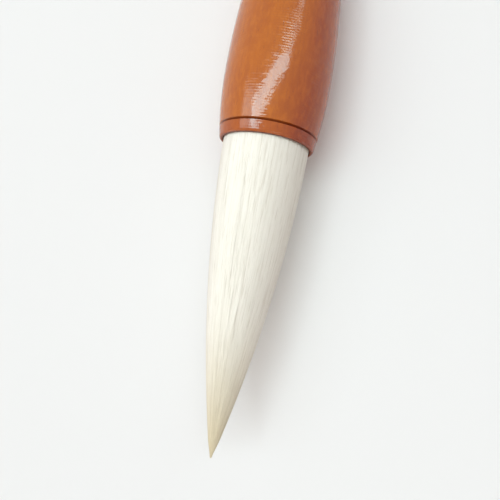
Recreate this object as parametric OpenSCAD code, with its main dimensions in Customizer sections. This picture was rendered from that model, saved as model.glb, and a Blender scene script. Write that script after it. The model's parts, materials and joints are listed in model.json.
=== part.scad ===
// Large calligraphy brush: a turned and lacquered wooden handle with a goat-hair tuft in its socket.
// The hair is built up in three layers, bound with thread, sealed with resin at the root and glued in.
// All pieces are turned about one axis. They are drawn upright, with the handle's rim at z = 0, the
// hair above it and the handle below it, and are then laid down on the belly and the tail together.

/* [Overall] */
// Length of the handle, from its rim to the end of its tail
handle_l = 210; // [160:1:260]
// Length of hair that stands out of the handle
tuft_out = 86; // [65:1:110]
// Diameter of the hair where it leaves the handle
tuft_d = 24; // [18:0.5:30]

/* [Handle] */
// Wood left between the socket and the outside at the rim
rim_wall = 0.9; // [0.8:0.05:3]
// Rounding of the rim's outer edge
rim_round = 0.7; // [0.2:0.1:1.5]
// How far the belly swells beyond the rim, on the radius
belly_bulge = 1.8; // [0.6:0.05:4]
// Distance from the rim to the widest part of the belly
belly_from_rim = 19; // [14:1:26]
// Length of the convex curve from the belly to the neck
shoulder_l = 40; // [30:1:55]
// Length of the hollow curve from the shoulder to the stem
neck_l = 46; // [30:1:60]
// Diameter of the stem
stem_d = 15.8; // [10:0.1:19]
// Rounding of the tail's end
tail_round = 5; // [1:0.5:8]
// Distance from the rim to the turned groove
groove_from_rim = 3.2; // [2.5:0.1:8]
// Width of the groove
groove_w = 0.7; // [0.4:0.1:1.6]
// Depth of the groove
groove_deep = 0.55; // [0.2:0.05:0.8]
// Diameter of the hole for a hanging cord
cord_hole_d = 3; // [1.5:0.1:4]
// Depth of the hole for a hanging cord
cord_hole_l = 14; // [8:1:25]
// Chamfer around the mouth of the cord hole
cord_hole_ease = 0.4; // [0.1:0.1:0.8]

/* [Root of the tuft] */
// How deep the hair is set into the handle
root_depth = 25; // [18:1:30]
// Room between the hair and the wall of the socket
socket_gap = 0.2; // [0.1:0.05:0.6]
// Thickness of the glue behind the root
glue_floor = 1.5; // [0.5:0.1:3]
// How far short of the rim the glue ends
glue_stop = 9; // [4:0.5:12]
// Thickness of the resin that seals the root
resin_t = 1.2; // [0.5:0.1:2]
// Diameter of the binding thread
thread_d = 0.5; // [0.3:0.05:0.8]
// Number of turns of the binding thread
thread_turns = 9; // [5:1:12]
// Distance from the end of the root to the binding
thread_from_end = 3; // [2:0.5:5]

/* [Hair layers] */
// Depth in the socket at which the tuft is widest
swell_in = 8; // [5:0.5:12]
// Diameter of the rounded point of the tuft
point_d = 1; // [0.6:0.1:2]
// Thickness of the cover hair at the rim
mantle_t = 1.8; // [1:0.1:3]
// How far short of the point the cover hair ends
mantle_short = 8; // [5:0.5:20]
// Length of the lining hair that stands out of the handle
lining_out = 44; // [25:1:50]
// Diameter of the core hair at the root
core_d = 10; // [6:0.5:13]
// Thickness of the cover and lining hair where they taper out
feather_t = 0.3; // [0.2:0.05:0.5]

/* [Hidden] */

turn_fn = 120;          // sides of every turned form
arc_fn = 720;           // sides of the large circles that the outlines are cut from
thread_fn = 48;         // sides of the binding thread
thread_bed = 0.08;      // share of the thread's diameter by which its turns bed into each other
rounding_share = 0.8;   // most of the rim's wall that its rounding may take
lap = 0.002;            // how far one arc is let into the next, so that they cross and leave no step

// A circle that bulges outwards and is widest at a distance back behind the start of a stretch.
// It passes through radius r0 at the start and radius r1 at a distance l further on.
function bulge_centre(r0, r1, l, back) = (r0 + r1 - l * (l + 2 * back) / (r0 - r1)) / 2;
function bulge_radius(centre, r0, back) = norm([r0 - centre, back]);
function bulge_at(centre, radius, along) = centre + sqrt(pow(radius, 2) - pow(along, 2));

// Outline of the whole tuft
point_r = point_d / 2;
tuft_r = tuft_d / 2;
ogive_l = tuft_out - point_r;
tuft_centre = bulge_centre(tuft_r, point_r, ogive_l, swell_in);
tuft_radius = bulge_radius(tuft_centre, tuft_r, swell_in);
swell_r = tuft_centre + tuft_radius;

// Outline of what the cover hair wraps
mantle_end = tuft_out - mantle_short;
under_r = tuft_r - mantle_t;
under_end_r = bulge_at(tuft_centre, tuft_radius, mantle_end + swell_in) - feather_t;
under_centre = bulge_centre(under_r, under_end_r, mantle_end, swell_in);
under_radius = bulge_radius(under_centre, under_r, swell_in);
lining_end_r = bulge_at(under_centre, under_radius, lining_out + swell_in) - feather_t;

// Binding
thread_pitch = (1 - thread_bed) * thread_d;
bind_start = -root_depth + thread_from_end;
bind_w = (thread_turns - 1) * thread_pitch + thread_d;
bind_r = swell_r - thread_d;

// Socket
socket_r = swell_r + socket_gap;
socket_l = root_depth + resin_t + glue_floor;

// Handle: the front's and the shoulder's arcs meet at the belly, and the hollow neck leads to the stem
rim_r = socket_r + rim_wall;
belly_r = rim_r + belly_bulge;
stem_r = stem_d / 2;
front_radius = (pow(belly_from_rim, 2) + pow(belly_bulge, 2)) / (2 * belly_bulge);
front_centre = belly_r - front_radius;
groove_r = bulge_at(front_centre, front_radius, belly_from_rim - groove_from_rim);
fall_angle = 2 * atan((belly_r - stem_r) / (shoulder_l + neck_l));
shoulder_radius = shoulder_l / sin(fall_angle);
shoulder_centre = belly_r - shoulder_radius - lap;
neck_radius = neck_l / sin(fall_angle);
neck_from_rim = belly_from_rim + shoulder_l;
stem_from_rim = neck_from_rim + neck_l;
edge_round = min(rim_round, rounding_share * rim_wall);
edge_r = bulge_at(front_centre, front_radius - edge_round, belly_from_rim - edge_round) + lap;
edge_lean = asin((belly_from_rim - edge_round) / (front_radius - edge_round));
edge_l = edge_round * (1 - sin(edge_lean));
cord_hole_r = cord_hole_d / 2;
end_round = min(tail_round, stem_r - cord_hole_r - 2 * cord_hole_ease);
end_r = stem_r - end_round + lap;

// Rest: the shoulder's arc and the tail's rounding both touch the ground
arc_apart = handle_l - end_round - belly_from_rim;
arc_drop = end_r - shoulder_centre;
rest_tilt = atan2(arc_apart, arc_drop)
    - acos((shoulder_radius - end_round) / norm([arc_apart, arc_drop]));
rim_height = belly_from_rim * sin(rest_tilt) + shoulder_radius
    + shoulder_centre * cos(rest_tilt);
tail_reach = handle_l * cos(rest_tilt) + end_r * sin(rest_tilt);
point_reach = ogive_l * cos(rest_tilt) + point_r + lap;

// Turns an outline about the brush's axis and lays it down, point towards +X
module turned() {
    translate([(tail_reach - point_reach) / 2, 0, rim_height])
        rotate([0, 90 - rest_tilt, 0])
            rotate_extrude($fn = turn_fn) children();
}

// The half of a disc that lies beside the axis
module half_disc(r) {
    intersection() {
        circle(r, $fn = turn_fn);
        translate([0, -2 * r]) square([2 * r, 4 * r]);
    }
}

// Band of an outline between two heights, cut from one large circle that bulges outwards
module convex_band(centre, radius, centre_z, from_z, to_z) {
    intersection() {
        translate([centre, centre_z]) circle(radius, $fn = arc_fn);
        translate([0, from_z]) square([2 * (centre + radius), to_z - from_z]);
    }
}

// The front's arc runs on behind the belly, where the shoulder's arc takes over
module belly_outline() {
    convex_band(front_centre, front_radius, -belly_from_rim, -neck_from_rim, -edge_l);
    convex_band(
        shoulder_centre, shoulder_radius, -belly_from_rim, -neck_from_rim, -belly_from_rim
    );
}

module stem_outline() {
    translate([0, -stem_from_rim]) square([belly_r, neck_l]);
    translate([0, end_round - handle_l]) square([stem_r, handle_l - end_round - stem_from_rim]);
    translate([0, -handle_l]) square([end_r, end_round]);
    translate([end_r, end_round - handle_l]) half_disc(end_round);
}

// The large circle that hollows the neck, between the shoulder and the stem
module neck_hollow() {
    translate([stem_r + neck_radius - 2 * lap, -stem_from_rim]) circle(neck_radius, $fn = arc_fn);
}

// The rim's face and its rounded edge, which ends in the arc that comes from the belly
module edge_outline() {
    translate([0, -edge_round]) square([edge_r, edge_round]);
    translate([edge_r, -edge_round]) half_disc(edge_round);
}

module groove_outline() {
    translate([groove_r - groove_deep, -groove_from_rim])
        polygon([[0, 0], [2 * groove_deep, groove_w], [2 * groove_deep, -groove_w]]);
}

// Blind hole from the tail's end, with a chamfered mouth
module cord_hole_outline() {
    ease_r = cord_hole_r + cord_hole_ease;
    translate([0, -handle_l])
        polygon([
            [0, 0], [ease_r, 0], [cord_hole_r, cord_hole_ease],
            [cord_hole_r, cord_hole_l], [0, cord_hole_l]
        ]);
}

module socket_outline() {
    translate([0, -socket_l]) square([socket_r, socket_l]);
}

// Column of hair: straight at the root and bulging from the widest place to its top
module hair_form(centre, radius, top) {
    translate([0, -root_depth]) square([centre + radius - lap, root_depth - swell_in]);
    convex_band(centre, radius, -swell_in, -root_depth, top);
}

module tuft_outline() {
    difference() {
        union() {
            hair_form(tuft_centre, tuft_radius, ogive_l);
            translate([0, ogive_l]) half_disc(point_r + lap);
        }
        translate([bind_r, bind_start]) square([2 * thread_d, bind_w]);
    }
}

// All hair that lies inside the cover hair, and the point beyond it
module under_outline() {
    intersection() {
        tuft_outline();
        union() {
            hair_form(under_centre, under_radius, mantle_end);
            translate([0, mantle_end]) square([tuft_r, tuft_out]);
        }
    }
}

module core_column() {
    polygon([
        [0, -root_depth], [core_d / 2, -root_depth], [lining_end_r, lining_out], [0, lining_out]
    ]);
}

module lining_outline() {
    difference() {
        hair_form(under_centre, under_radius, lining_out);
        core_column();
    }
}

module thread_outline() {
    translate([bind_r, bind_start]) {
        square([thread_d / 2, bind_w]);
        for (turn = [0 : thread_turns - 1])
            translate([thread_d / 2, thread_d / 2 + turn * thread_pitch])
                circle(thread_d / 2, $fn = thread_fn);
    }
}

module resin_outline() {
    translate([0, -root_depth - resin_t]) square([bind_r, resin_t]);
}

module handle() {
    color("#b8692f") turned()
        difference() {
            union() {
                edge_outline();
                belly_outline();
                stem_outline();
            }
            neck_hollow();
            socket_outline();
            groove_outline();
            cord_hole_outline();
        }
}

// Fills the socket behind and around the root
module socket_glue() {
    color("#d9b26a") turned()
        difference() {
            translate([0, -socket_l]) square([socket_r, socket_l - glue_stop]);
            tuft_outline();
            thread_outline();
            resin_outline();
        }
}

module root_resin() {
    color("#7a4a22") turned() resin_outline();
}

module root_thread() {
    color("#c9402f") turned() thread_outline();
}

// Pillar of the longest hair, which alone makes the point
module core_hair() {
    color("#efe6cf") turned()
        difference() {
            under_outline();
            lining_outline();
        }
}

// Short hair packed round the pillar, which fills out the body
module lining_hair() {
    color("#dccfb0") turned() lining_outline();
}

// Long fine hair that covers the rest
module cover_hair() {
    color("#f6f1e4") turned()
        difference() {
            tuft_outline();
            hair_form(under_centre, under_radius, mantle_end);
            translate([0, mantle_end]) square([tuft_r, tuft_out]);
        }
}

handle();
socket_glue();
root_resin();
root_thread();
core_hair();
lining_hair();
cover_hair();
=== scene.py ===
"""Looks of a large calligraphy brush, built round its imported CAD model.

The handle keeps its CAD shape and gets a lacquered wood. The hair that shows is modelled here: a body of
packed hair with fine ridges, and thousands of single hairs that lie along it and meet in the point.
All lengths are in metres and all places are in the frame's own axes. Along means the distance from the
handle's rim, measured on the brush's axis: it is negative in the handle and grows towards the point.
"""

import json
import math

import bpy
import numpy as np
from mathutils import Matrix, Vector

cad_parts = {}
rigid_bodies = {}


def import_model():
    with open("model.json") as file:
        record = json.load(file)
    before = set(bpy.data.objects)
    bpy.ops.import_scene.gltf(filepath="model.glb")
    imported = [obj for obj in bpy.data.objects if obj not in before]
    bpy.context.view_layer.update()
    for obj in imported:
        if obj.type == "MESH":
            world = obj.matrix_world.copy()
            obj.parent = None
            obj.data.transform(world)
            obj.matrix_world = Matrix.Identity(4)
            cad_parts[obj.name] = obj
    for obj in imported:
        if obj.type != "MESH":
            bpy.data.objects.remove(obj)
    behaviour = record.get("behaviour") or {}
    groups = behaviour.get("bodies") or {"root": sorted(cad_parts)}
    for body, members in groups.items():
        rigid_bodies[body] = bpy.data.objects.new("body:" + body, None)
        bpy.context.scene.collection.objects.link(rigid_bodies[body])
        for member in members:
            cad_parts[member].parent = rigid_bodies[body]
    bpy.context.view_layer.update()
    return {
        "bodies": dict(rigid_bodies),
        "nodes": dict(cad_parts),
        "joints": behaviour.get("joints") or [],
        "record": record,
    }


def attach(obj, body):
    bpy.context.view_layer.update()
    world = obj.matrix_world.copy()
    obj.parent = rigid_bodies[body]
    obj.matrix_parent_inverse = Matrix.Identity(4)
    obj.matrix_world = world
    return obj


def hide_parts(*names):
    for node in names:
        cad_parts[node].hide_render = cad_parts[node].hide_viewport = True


MM = 0.001
TURN = 2 * math.pi


# ---------------------------------------------------------------- the brush's axis and outline

def points_of(obj):
    flat = np.zeros(len(obj.data.vertices) * 3)
    obj.data.vertices.foreach_get("co", flat)
    return flat.reshape(-1, 3)


class Axis:
    """The line that every piece is turned about, with its origin in the middle of the rim."""

    def __init__(self, frame):
        stem = next(m for m in frame["record"]["mounts"] if m["name"] == "stem")
        self.forward = -np.array(stem["axis"]) / np.linalg.norm(stem["axis"])
        self.side = np.array((0.0, 1.0, 0.0))
        self.up = np.cross(self.forward, self.side)
        self.origin = np.array(stem["pos_m"])
        along, _ = self.split(points_of(frame["nodes"]["handle"]))
        self.origin = self.origin + self.forward * along.max()

    def split(self, points):
        """How far each point lies along the axis, and how far from it."""
        offset = points - self.origin
        along = offset @ self.forward
        return along, np.linalg.norm(offset - along[:, None] * self.forward, axis=1)

    def outwards(self, angle):
        """The directions straight out from the axis at these angles round it."""
        return np.cos(angle)[..., None] * self.up + np.sin(angle)[..., None] * self.side

    def place(self, along, radius, angle):
        """The points at these distances along and from the axis, and at these angles round it."""
        return self.origin + along[..., None] * self.forward + radius[..., None] * self.outwards(angle)


# The hair is drawn in over this length before its point, to this share of the CAD hair's radius
FINE_END = 5 * MM
FINE_SHARE = 0.5


class Tuft:
    """The tuft's outline, read from the CAD hair and from the thread that binds its root."""

    def __init__(self, axis, frame):
        hair = [axis.split(points_of(frame["nodes"][node])) for node in ("cover_hair", "core_hair")]
        along = np.concatenate([part[0] for part in hair])
        radius = np.concatenate([part[1] for part in hair])
        self.root, self.point = along.min(), along.max()
        order = np.lexsort((-radius, along))
        self.rings, self.radii = self.outermost(along[order], radius[order])
        self.waist = axis.split(points_of(frame["nodes"]["root_thread"]))[1].min()
        self.widest = self.radii.max()

    @staticmethod
    def outermost(along, radius):
        """The points on the outside, which bulges everywhere: none lies under a line between two."""
        kept = []
        for x, y in zip(along, radius):
            while len(kept) > 1:
                (x0, y0), (x1, y1) = kept[-2:]
                if (y1 - y0) * (x - x0) > (y - y0) * (x1 - x0):
                    break
                kept.pop()
            kept.append((x, y))
        return np.array(kept).T

    def radius(self, along):
        """The outline's radius, drawn in over the last stretch to a finer point than the CAD's."""
        close = np.clip((along - self.point + FINE_END) / FINE_END, 0, 1)
        return np.interp(along, self.rings, self.radii) * (1 - (1 - FINE_SHARE) * close ** 2)

    def fade(self, radius):
        """The share of their height that ridges and hairs keep where the tuft has this radius."""
        return np.clip(radius / self.widest, 0, 1) ** 0.7


# ---------------------------------------------------------------- meshes

def mesh_piece(name, points, faces, material):
    """A smooth object from an array of points and an array of faces with as many corners each."""
    mesh = bpy.data.meshes.new(name)
    mesh.vertices.add(len(points))
    mesh.vertices.foreach_set("co", points.astype(np.float32).ravel())
    mesh.loops.add(faces.size)
    mesh.loops.foreach_set("vertex_index", faces.astype(np.int32).ravel())
    mesh.polygons.add(len(faces))
    mesh.polygons.foreach_set("loop_start", np.arange(0, faces.size, faces.shape[1], dtype=np.int32))
    mesh.polygons.foreach_set("use_smooth", np.ones(len(faces), dtype=bool))
    mesh.update(calc_edges=True)
    mesh.materials.append(material)
    obj = bpy.data.objects.new(name, mesh)
    bpy.context.scene.collection.objects.link(obj)
    return obj


def add_uv(mesh, name, places):
    """Gives each corner of a mesh the place of its vertex in a UV map."""
    layer = mesh.uv_layers.new(name=name)
    corners = np.zeros(len(mesh.loops), dtype=np.int32)
    mesh.loops.foreach_get("vertex_index", corners)
    layer.data.foreach_set("uv", places[corners].astype(np.float32).ravel())


def tube_faces(rows, columns):
    """Triangles between rows of points, where each row closes on itself. They face out where each row
    runs anticlockwise as seen from the last row."""
    row, column = np.meshgrid(np.arange(rows - 1), np.arange(columns), indexing="ij")
    after = (column + 1) % columns
    here, there = row * columns, (row + 1) * columns
    corners = [here + column, here + after, there + after, here + column, there + after, there + column]
    return np.stack(corners, axis=-1).reshape(-1, 3)


def fan_faces(first, columns, middle, turned):
    """Triangles that close a row of points, which starts at first, round the point middle."""
    column = np.arange(columns)
    after = (column + 1) % columns
    around = [first + after, first + column] if turned else [first + column, first + after]
    return np.stack([*around, np.full(columns, middle)], axis=-1)


class Streaks:
    """Smooth random values from -1 to 1 round the tuft that drift slowly along it."""

    def __init__(self, rng, count, rows):
        self.values = rng.uniform(-1, 1, (rows, count))

    def at(self, angle, along):
        """along runs from 0 at the rim to 1 at the point."""
        rows, count = self.values.shape
        column = np.mod(angle / TURN, 1) * count
        row = np.clip(along, 0, 1) * (rows - 1)
        c0, r0 = np.floor(column).astype(int) % count, np.minimum(np.floor(row).astype(int), rows - 2)
        c, r = column - np.floor(column), row - r0
        c, r = c * c * (3 - 2 * c), r * r * (3 - 2 * r)
        c1 = (c0 + 1) % count
        near = self.values[r0, c0] * (1 - c) + self.values[r0, c1] * c
        far = self.values[r0 + 1, c0] * (1 - c) + self.values[r0 + 1, c1] * c
        return near * (1 - r) + far * r


# ---------------------------------------------------------------- materials

class Nodes:
    """Makes the nodes of a material or of a world and joins them up."""

    def __init__(self, owner):
        owner.use_nodes = True
        self.owner = owner
        self.tree = owner.node_tree
        self.shader = self.tree.nodes.get("Principled BSDF")

    def add(self, kind, values=None, **settings):
        """A new node. values are for its inputs: plain numbers, or sockets to link to them."""
        node = self.tree.nodes.new(kind)
        for key, value in settings.items():
            setattr(node, key, value)
        for key, value in (values or {}).items():
            self.set(node.inputs[key], value)
        return node

    def set(self, socket, value):
        if isinstance(value, bpy.types.NodeSocket):
            self.tree.links.new(value, socket)
        else:
            socket.default_value = value

    def set_shader(self, **values):
        for key, value in values.items():
            self.set(self.shader.inputs[key.replace("_", " ")], value)

    def math(self, operation, a, b=0.0, clamp=False):
        return self.add("ShaderNodeMath", {0: a, 1: b}, operation=operation, use_clamp=clamp).outputs[0]

    def vector(self, operation, a, b=(0, 0, 0)):
        """The result of a sum on vectors: a number for a dot product or a length, else a vector."""
        node = self.add("ShaderNodeVectorMath", {0: a, 1: b}, operation=operation)
        return node.outputs["Value" if operation in ("DOT_PRODUCT", "LENGTH") else "Vector"]

    def smooth(self, value, low, high, at_low=0.0, at_high=1.0):
        """Goes smoothly from at_low to at_high as value goes from low to high."""
        spread = {"Value": value, "From Min": low, "From Max": high, "To Min": at_low, "To Max": at_high}
        node = self.add("ShaderNodeMapRange", spread, interpolation_type="SMOOTHSTEP")
        return node.outputs["Result"]

    def noise(self, place, scale, detail=2.0, roughness=0.5):
        values = {"Vector": place, "Scale": scale, "Detail": detail, "Roughness": roughness}
        return self.add("ShaderNodeTexNoise", values).outputs["Fac"]

    def mix(self, share, a, b, blend="MIX"):
        """Mixes two colours."""
        values = {"Factor": share}
        node = self.add("ShaderNodeMix", values, data_type="RGBA", blend_type=blend)
        for socket, colour in ((node.inputs[6], a), (node.inputs[7], b)):
            self.set(socket, colour if isinstance(colour, bpy.types.NodeSocket) else (*colour, 1))
        return node.outputs[2]

    def bump(self, height, distance, normal=None):
        values = {"Height": height, "Distance": distance, "Strength": 1.0}
        if normal is not None:
            values["Normal"] = normal
        return self.add("ShaderNodeBump", values).outputs["Normal"]

    def place(self):
        return self.add("ShaderNodeTexCoord").outputs["Object"]

    def on_axis(self, axis):
        """The shaded point's place in metres, with X along the brush's axis and zero in the rim."""
        offset = self.vector("SUBTRACT", self.place(), tuple(axis.origin))
        tilt = math.asin(axis.forward[2])
        turn = {"Vector": offset, "Axis": (0, 1, 0), "Angle": tilt}
        return self.add("ShaderNodeVectorRotate", turn).outputs[0]

    def stretched(self, place, along, across):
        """place with its X multiplied by along, and its Y and Z by across."""
        return self.vector("MULTIPLY", place, (along, across, across))

    def outwards(self, place):
        """The direction from the brush's axis to place, of length 1."""
        return self.vector("NORMALIZE", self.stretched(place, 0, 1))

    def parts(self, place):
        return self.add("ShaderNodeSeparateXYZ", {0: place}).outputs


# The groove's middle along the handle, and half the width of the painted shade in it
GROOVE = -3.2 * MM
GROOVE_HALF = 0.2 * MM
# The turning marks' spacing and their depth near the rim. Towards the belly they are deeper
TURNING_MARK = 0.7 * MM
MARK_DEPTH = 0.0046 * MM
BELLY_DEEPER = 1.35
PEEL_DEPTH = 0.05 * MM
# The wood is painted darker and redder towards this side, as painted shade: no part along the brush,
# then to the side, then up
SHADED_SIDE = (0, 0.96, -0.29)


def lacquered_wood(axis):
    """Fine-grained amber wood under a thick clear lacquer that keeps faint turning marks."""
    n = Nodes(bpy.data.materials.new("lacquered_wood"))
    place = n.on_axis(axis)
    along = n.parts(place)["X"]
    bands = n.noise(n.stretched(place, 7, 110), 1.0)
    mottle = n.noise(n.stretched(place, 420, 900), 1.0, detail=4, roughness=0.6)
    clouds = n.noise(n.stretched(place, 60, 150), 1.0)
    fibres = n.noise(n.stretched(place, 80, 1500), 1.0)
    flecks = n.noise(n.stretched(place, 400, 2100), 1.0, detail=1)
    colour = n.mix(n.smooth(bands, 0.3, 0.7), (0.485, 0.122, 0.004), (0.415, 0.090, 0.004))
    colour = n.mix(n.smooth(clouds, 0.35, 0.7, 0, 0.35), colour, (0.37, 0.078, 0.009))
    colour = n.mix(n.smooth(mottle, 0.4, 0.7, 0, 0.55), colour, (0.56, 0.155, 0.008))
    # Painted shade: the wood darker and redder towards one side, its edge broken by the clouds
    toward_shaded_side = n.vector("DOT_PRODUCT", n.outwards(place), SHADED_SIDE)
    toward_shaded_side = n.math("ADD", toward_shaded_side, n.math("MULTIPLY", clouds, 0.4))
    colour = n.mix(n.smooth(toward_shaded_side, 0.15, 1.0, 0, 0.85), colour, (0.74, 0.45, 0.40), "MULTIPLY")
    colour = n.mix(n.smooth(fibres, 0.45, 0.75, 0, 0.25), colour, (0.33, 0.070, 0.010))
    colour = n.mix(n.smooth(flecks, 0.70, 0.78, 0, 0.45), colour, (0.16, 0.035, 0.010))

    # The lip before the groove is darker and redder, painted shade darkens the groove, and the end face
    # within the lip is bare
    lip = n.smooth(along, GROOVE - GROOVE_HALF, GROOVE + GROOVE_HALF)
    colour = n.mix(lip, colour, (0.86, 0.72, 0.85), "MULTIPLY")
    # Painted shade: the groove darkened towards its middle
    from_groove = n.math("ABSOLUTE", n.math("SUBTRACT", along, GROOVE))
    groove_shade = n.smooth(from_groove, GROOVE_HALF, 2 * GROOVE_HALF, 0.65, 0)
    colour = n.mix(groove_shade, colour, (0.12, 0.018, 0.010))
    end_face = n.smooth(along, -0.08 * MM, -0.01 * MM)
    colour = n.mix(end_face, colour, (0.22, 0.052, 0.015))

    marks = n.math("SINE", n.math("MULTIPLY", along, TURN / TURNING_MARK))
    marks = n.math("MULTIPLY", marks, n.smooth(n.noise(n.stretched(place, 90, 60), 1.0), 0.25, 0.6))
    marks = n.math("MULTIPLY", marks, n.smooth(along, -24 * MM, -16 * MM, BELLY_DEEPER, 1.0))
    peel = n.noise(place, 700, detail=1)
    n.set_shader(
        Base_Color=colour, Roughness=n.smooth(end_face, 0, 1, 0.13, 0.6),
        Specular_IOR_Level=0.4, IOR=1.6, Specular_Tint=(0.70, 0.96, 1.0, 1),
        Normal=n.bump(peel, PEEL_DEPTH, n.bump(marks, MARK_DEPTH)),
    )
    return n.owner


def goat_hair(axis, tuft, name, white, warm):
    """Creamy hair with faint streaks that run along it and meet in the point, where it turns warmer."""
    n = Nodes(bpy.data.materials.new(name))
    place = n.on_axis(axis)
    along = n.parts(place)["X"]
    round_it = n.parts(n.outwards(place))
    drift = {"X": n.math("MULTIPLY", along, 22), "Y": round_it["Y"], "Z": round_it["Z"]}
    lanes = n.add("ShaderNodeCombineXYZ", drift).outputs[0]
    fine = n.noise(n.stretched(lanes, 1, 20), 1.0, detail=4, roughness=0.7)
    short = n.noise(n.stretched(lanes, 6, 24), 1.0, detail=2)
    coarse = n.noise(n.stretched(lanes, 1, 10), 1.0, detail=5, roughness=0.75)
    narrow = n.smooth(along, 0.35 * tuft.point, 0.8 * tuft.point)
    streaks = n.math("ADD", fine, n.math("MULTIPLY", n.math("SUBTRACT", coarse, fine), narrow))
    colour = n.mix(n.smooth(along, 0.5 * tuft.point, 1.1 * tuft.point), white, warm)
    depth = n.smooth(narrow, 0, 1, 0.33, 0.40)
    colour = n.mix(n.smooth(streaks, 0.46, 0.72, 0, depth), colour, (0.75, 0.72, 0.66), "MULTIPLY")
    colour = n.mix(n.smooth(short, 0.50, 0.75, 0, 0.6), colour, (0.78, 0.75, 0.70), "MULTIPLY")
    n.set_shader(Base_Color=colour, Roughness=0.55, Specular_IOR_Level=0.25)
    return n.owner


def mottled(name, colour, dark, scale, roughness):
    """A plain finish for what lies hidden in the socket."""
    n = Nodes(bpy.data.materials.new(name))
    cloud = n.noise(n.place(), scale, detail=3)
    colour = n.mix(cloud, colour, dark)
    n.set_shader(Base_Color=colour, Roughness=roughness, Normal=n.bump(cloud, 0.05 * MM))
    return n.owner


def wound_thread(axis):
    """Thread whose strands lean across each turn."""
    n = Nodes(bpy.data.materials.new("binding_thread"))
    strands = {"Vector": n.on_axis(axis), "Scale": 900.0, "Distortion": 1.0}
    twist = n.add("ShaderNodeTexWave", strands).outputs["Fac"]
    colour = n.mix(twist, (0.45, 0.05, 0.03), (0.62, 0.09, 0.05))
    n.set_shader(Base_Color=colour, Roughness=0.8, Normal=n.bump(twist, 0.03 * MM))
    return n.owner


# ---------------------------------------------------------------- the hair

# Behind SWELL the hair narrows to the root, and from TIED on it is as narrow as the thread leaves it
SWELL, TIED = -8 * MM, -13 * MM
# Places round the tuft, places along it and height in mm of each set of ridges
RIDGES = ((60, 7, 0.03), (150, 9, 0.03), (330, 12, 0.025))
# How far under the tuft's outline the body's surface lies, and the single hairs, in mm
BODY_SINK = 0.14
HAIR_SINK = (-0.16, -0.09)
# The single hairs' thinnest and thickest radius, in mm, and how far each dives at its end
HAIR_RADIUS = (0.04, 0.06)
DIVE = 0.25 * MM
LOCKS, HAIRS_IN_LOCK = 4, 1500


def body_radius(tuft, along):
    """The tuft's outline, drawn in at the root so that the thread, glue and resin lie round it."""
    inner = tuft.waist - 0.1 * MM
    share = np.clip((along - TIED) / (SWELL - TIED), 0, 1)
    share = share * share * (3 - 2 * share)
    return np.where(along < SWELL, inner + (tuft.widest - inner) * share, tuft.radius(along))


def hair_body(axis, tuft, rng, material):
    """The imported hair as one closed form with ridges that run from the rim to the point."""
    columns = 720
    inside = np.linspace(tuft.root, 0, 14, endpoint=False)
    outside = tuft.point * (1 - (1 - np.linspace(0, 1, 112)) ** 1.5)
    along = np.concatenate([inside, outside])[:-1]
    angle = np.linspace(0, TURN, columns, endpoint=False)
    along, angle = np.meshgrid(along, angle, indexing="ij")
    radius = body_radius(tuft, along)
    ridges = sum(
        height * Streaks(rng, count, rows).at(angle, along / tuft.point)
        for count, rows, height in RIDGES
    )
    radius = radius - tuft.fade(radius) * (BODY_SINK * MM - ridges * MM)
    points = axis.place(along, np.maximum(radius, 0.03 * MM), angle)
    rows = len(points)
    ends = axis.place(np.array([tuft.root, tuft.point]), np.zeros(2), np.zeros(2))
    root, tip = rows * columns, rows * columns + 1
    faces = np.concatenate([
        tube_faces(rows, columns),
        fan_faces(0, columns, root, turned=True),
        fan_faces((rows - 1) * columns, columns, tip, turned=False),
    ])
    # The angle runs clockwise as seen from the point, so each face's corners are put in the other order
    faces = faces[:, ::-1]
    points = np.concatenate([points.reshape(-1, 3), ends])
    return mesh_piece("hair_body", points, faces, material)


def hairs(axis, tuft, rng, name, count, material):
    """Single hairs as thin closed tubes, from the handle's mouth to where each dives into the body."""
    rings, sides = 22, 3
    # The rings lie closer together towards a hair's end
    step = 1 - (1 - np.linspace(0, 1, rings)[None, :]) ** 1.4
    start = rng.uniform(-2.5, -0.5, (count, 1)) * MM
    reach = np.linspace(0, 1, 400)
    widths = tuft.radius(reach * tuft.point)[::-1] / tuft.widest
    end = np.interp(rng.uniform(0.01, 1, (count, 1)), widths, reach[::-1] * tuft.point)
    end = np.maximum(end, rng.uniform(0.25, 0.45, (count, 1)) * tuft.point)
    along = start + (end - start) * step
    angle = rng.uniform(0, TURN, (count, 1))
    sway = rng.uniform(0, 0.035, (count, 1)) * np.sin(
        step * rng.uniform(1.5, 5, (count, 1)) + rng.uniform(0, TURN, (count, 1))
    )
    angle = angle + sway
    surface = tuft.radius(along)
    depth = rng.uniform(*HAIR_SINK, (count, 1)) * MM
    arch = rng.uniform(0, 0.03, (count, 1)) * MM * np.sin(math.pi * step)
    dive = DIVE * np.clip((step - 0.95) / 0.05, 0, 1) ** 2
    radius = surface + tuft.fade(surface) * (depth + arch - dive)
    thick = rng.uniform(*HAIR_RADIUS, (count, 1)) * MM * (1 - 0.8 * step ** 2)
    centre = axis.place(along, np.maximum(radius, 0.02 * MM), angle)
    out = axis.outwards(angle)
    across = np.cross(np.broadcast_to(axis.forward, out.shape), out)
    spin = np.arange(sides) / sides * TURN
    ring = np.cos(spin)[:, None] * out[:, :, None, :] + np.sin(spin)[:, None] * across[:, :, None, :]
    points = centre[:, :, None, :] + thick[:, :, None, None] * ring
    last = (rings - 1) * sides
    one_hair = np.concatenate([tube_faces(rings, sides), [[0, 2, 1]], [[last, last + 1, last + 2]]])
    faces = (one_hair[None] + (np.arange(count) * rings * sides)[:, None, None]).reshape(-1, 3)
    obj = mesh_piece(name, points.reshape(-1, 3), faces, material)
    hair, row, side = np.meshgrid(np.arange(count), np.arange(rings), np.arange(sides), indexing="ij")
    places = np.stack([(hair + side / sides) / count, row / rings], axis=-1)
    add_uv(obj.data, "OFBake", places.reshape(-1, 2))
    return obj


# ---------------------------------------------------------------- camera, floor and light

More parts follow.
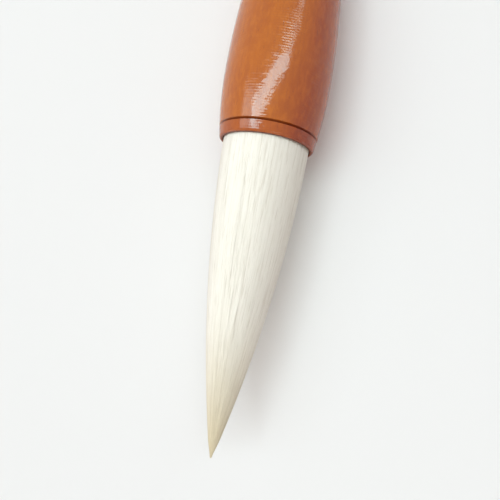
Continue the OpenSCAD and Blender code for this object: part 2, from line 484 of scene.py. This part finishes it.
# The rim's middle, and the directions of the handle and of the floor, in the camera's own axes:
# right, up and back
RIM_IN_VIEW = Vector((4.41, 28.8, -139.3)) * MM
HANDLE_IN_VIEW = Vector((0.1745, 0.983, -0.065))
FLOOR_IN_VIEW = Vector((-0.289, 0.114, 0.951))


def camera(axis):
    """A camera that sees the rim, the handle and the floor as given above. Returns how it is turned."""
    forward, up = Vector(axis.forward), Vector(axis.up)
    seen_forward = (-HANDLE_IN_VIEW).normalized()
    seen_up = (FLOOR_IN_VIEW - FLOOR_IN_VIEW.dot(seen_forward) * seen_forward).normalized()
    seen = Matrix((seen_forward, seen_up, seen_forward.cross(seen_up)))
    real = Matrix((forward, up, forward.cross(up)))
    turn = real.transposed() @ seen
    lens = bpy.data.cameras.new("camera")
    lens.lens, lens.sensor_width = 36.0, 36.0
    lens.clip_start = 5 * MM
    obj = bpy.data.objects.new("camera", lens)
    bpy.context.scene.collection.objects.link(obj)
    obj.matrix_world = Matrix.Translation(Vector(axis.origin) - turn @ RIM_IN_VIEW) @ turn.to_4x4()
    bpy.context.scene.camera = obj
    return turn


# How bright the room looks, where 1 is white, and how much brighter than the mean its bright side shines
ROOM = 0.905
SIDED = 0.78
# The room's light: its colour, and its strength near the horizon and from this height up
ROOM_COLOUR = (1.17, 1.0, 0.93)
AT_HORIZON, OVERHEAD, HIGH = 0.475, 0.41, 0.6
LAMP_COLOUR = (0.86, 1.0, 1.04)
# The floor's colour, half its side, and the distances over which it fades into the room
FLOOR_COLOUR = (0.815, 0.805, 0.795)
FLOOR_HALF = 30.0
FADE_FROM, FADE_TO = 0.5, 2.0


def shows(n):
    """1 for a ray that shows what it meets, straight or in gloss or glass, and 0 for one with light."""
    path = n.add("ShaderNodeLightPath").outputs
    seen = n.math("ADD", path["Is Camera Ray"], path["Is Glossy Ray"])
    return n.math("ADD", seen, path["Is Transmission Ray"], clamp=True)


def floor():
    """A pale floor. Further out it fades into the room behind it, as a studio's curved backdrop does."""
    corners = np.array([(-1, -1, 0), (1, -1, 0), (1, 1, 0), (-1, 1, 0)]) * FLOOR_HALF
    n = Nodes(bpy.data.materials.new("floor"))
    n.set_shader(Base_Color=(*FLOOR_COLOUR, 1), Roughness=0.7, Specular_IOR_Level=0.2)
    far = n.smooth(n.vector("LENGTH", n.place()), FADE_FROM, FADE_TO)
    backdrop = n.add("ShaderNodeEmission", {"Color": (1, 1, 1, 1), "Strength": ROOM})
    both = {0: n.math("MULTIPLY", far, shows(n)), 1: n.shader.outputs[0], 2: backdrop.outputs[0]}
    blend = n.add("ShaderNodeMixShader", both)
    n.set(n.tree.nodes["Material Output"].inputs["Surface"], blend.outputs[0])
    mesh_piece("floor", corners, np.array([[0, 1, 2, 3]]), n.owner)


def world(turn):
    """A plain pale room, whose light is a little warm and stronger from the camera's lower left."""
    n = Nodes(bpy.data.worlds.new("room"))
    bpy.context.scene.world = n.owner
    bright_side = turn @ Vector((-0.6, -0.8, 0))
    bright_side.z = 0
    direction = n.add("ShaderNodeTexCoord").outputs["Generated"]
    aside = n.vector("DOT_PRODUCT", direction, bright_side.normalized())
    level = n.smooth(n.parts(direction)["Z"], 0, HIGH, AT_HORIZON, OVERHEAD)
    level = n.math("MULTIPLY", level, n.math("ADD", n.math("MULTIPLY", aside, SIDED), 1.0))
    seen = shows(n)
    back = n.tree.nodes["Background"].inputs
    n.set(back["Color"], n.mix(seen, ROOM_COLOUR, (1.0, 1.0, 1.0)))
    n.set(back["Strength"], n.smooth(seen, 0, 1, level, ROOM))


def long_light(name, turn, axis, middle, length, width, radiance):
    """A long soft light. middle and length are in the camera's axes, and middle is from the rim's."""
    along = turn @ length.normalized()
    middle = turn @ middle
    across = turn @ Vector((0, 1, 0))
    across = (across - across.dot(along) * along).normalized()
    away = along.cross(across)
    if away.dot(middle) < 0:
        away = -away
    lamp = bpy.data.lights.new(name, "AREA")
    lamp.shape = "RECTANGLE"
    lamp.size, lamp.size_y = length.length, width
    lamp.energy = radiance * math.pi * lamp.size * lamp.size_y
    lamp.color = LAMP_COLOUR
    obj = bpy.data.objects.new(name, lamp)
    bpy.context.scene.collection.objects.link(obj)
    turned = Matrix((across.cross(away), across, away)).transposed()
    obj.matrix_world = Matrix.Translation(Vector(axis.origin) + middle) @ turned.to_4x4()
    obj.visible_camera = False


# Each light's middle, length and width in metres, and its radiance
LIGHTS = {
    "window": ((0.51, 2.47, 5.41), (5.78, 3.94, 5.51), 1.05, 7.9),
    "window_end": ((-2.95, 1.05, 2.35), (-1.55, 0.28, -1.55), 1.2, 2.6),
    "far_window": ((-0.06, -2.93, 3.7), (-0.77, 2.55, 2.0), 1.0, 4.5),
    "window_gap": ((2.9, 3.85, 4.5), (1.8, 1.75, 0.0), 0.24, 8.0),
}


# ---------------------------------------------------------------- the scene

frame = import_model()

axis = Axis(frame)
tuft = Tuft(axis, frame)
bpy.context.scene.view_settings.view_transform = "Standard"

turn = camera(axis)

FINISHES = {
    "handle": lacquered_wood(axis),
    "socket_glue": mottled("socket_glue", (0.70, 0.45, 0.15), (0.55, 0.30, 0.08), 400.0, 0.3),
    "root_resin": mottled("root_resin", (0.20, 0.07, 0.02), (0.10, 0.03, 0.01), 600.0, 0.3),
    "root_thread": wound_thread(axis),
    "lining_hair": goat_hair(axis, tuft, "lining_hair", (0.72, 0.66, 0.53), (0.62, 0.53, 0.38)),
}
for node, material in FINISHES.items():
    slots = frame["nodes"][node].data.materials
    slots.clear()
    slots.append(material)

rng = np.random.default_rng(20)
# Painted shade: the packed hair under the single hairs is a darker copy of their colour, for the depth
# between them
under = goat_hair(axis, tuft, "packed_hair_painted_shade", (0.94, 0.90, 0.82), (0.64, 0.54, 0.34))
over = goat_hair(axis, tuft, "single_hair", (0.98, 0.935, 0.85), (0.75, 0.65, 0.45))
body = hair_body(axis, tuft, rng, under)
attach(body, "root")
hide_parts("cover_hair", "core_hair")
for number in range(LOCKS):
    lock = hairs(axis, tuft, rng, f"hairs_{number + 1}", HAIRS_IN_LOCK, over)
    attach(lock, "root")

floor()
world(turn)
for name, (middle, length, width, radiance) in LIGHTS.items():
    long_light(name, turn, axis, Vector(middle), Vector(length), width, radiance)
